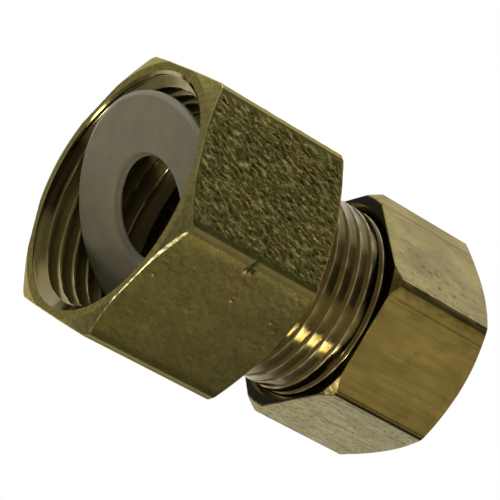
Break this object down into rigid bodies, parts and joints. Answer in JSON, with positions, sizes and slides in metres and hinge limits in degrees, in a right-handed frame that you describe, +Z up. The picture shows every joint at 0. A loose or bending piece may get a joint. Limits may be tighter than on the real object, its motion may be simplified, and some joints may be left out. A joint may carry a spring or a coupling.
{
  "type": "compression fitting",
  "caption": "Straight brass compression fitting: 3/4 in size female pipe-thread socket with a loose plastic washer, male thread, nut and ferrule for 15 mm tube.",
  "frame": {"origin": "on the fitting's axis at the plane of the female socket's mouth", "axes": "+X along the axis from the socket's mouth towards the nut, +Z up; the part lies on the bottom flat of the large hexagon"},
  "size_m": [0.0438, 0.0322, 0.0282],
  "materials": {
    "brass_body": "cast and turned",
    "brass_nut": "drawn",
    "brass_ferrule": "turned",
    "washer_plastic": "translucent, matt"
  },
  "bodies": {
    "body": {"fitting_body": "brass_body"},
    "ring": {"ferrule": "brass_ferrule"},
    "nut": {"compression_nut": "brass_nut"},
    "washer": {"washer": "washer_plastic"}
  },
  "joints": [
    {"name": "nut_advance", "type": "slide", "parent": "body", "child": "ring", "axis": [1, 0, 0], "range_m": [-0.00437, 0.00476]},
    {"name": "nut_turn", "type": "hinge", "parent": "ring", "child": "nut", "pos_m": [0.0346, 0, 0], "axis": [1, 0, 0], "range_deg": [-990, 1080]},
    {"name": "washer_rock", "type": "hinge", "parent": "body", "child": "washer", "pos_m": [0.0046, 0, 0], "axis": [0, 0.9078, -0.4195], "range_deg": [0, 29.1]}
  ],
  "couplings": [
    {"joint": "nut_advance", "follows": "nut_turn", "m_per_rad": 0.00025266}
  ]
}
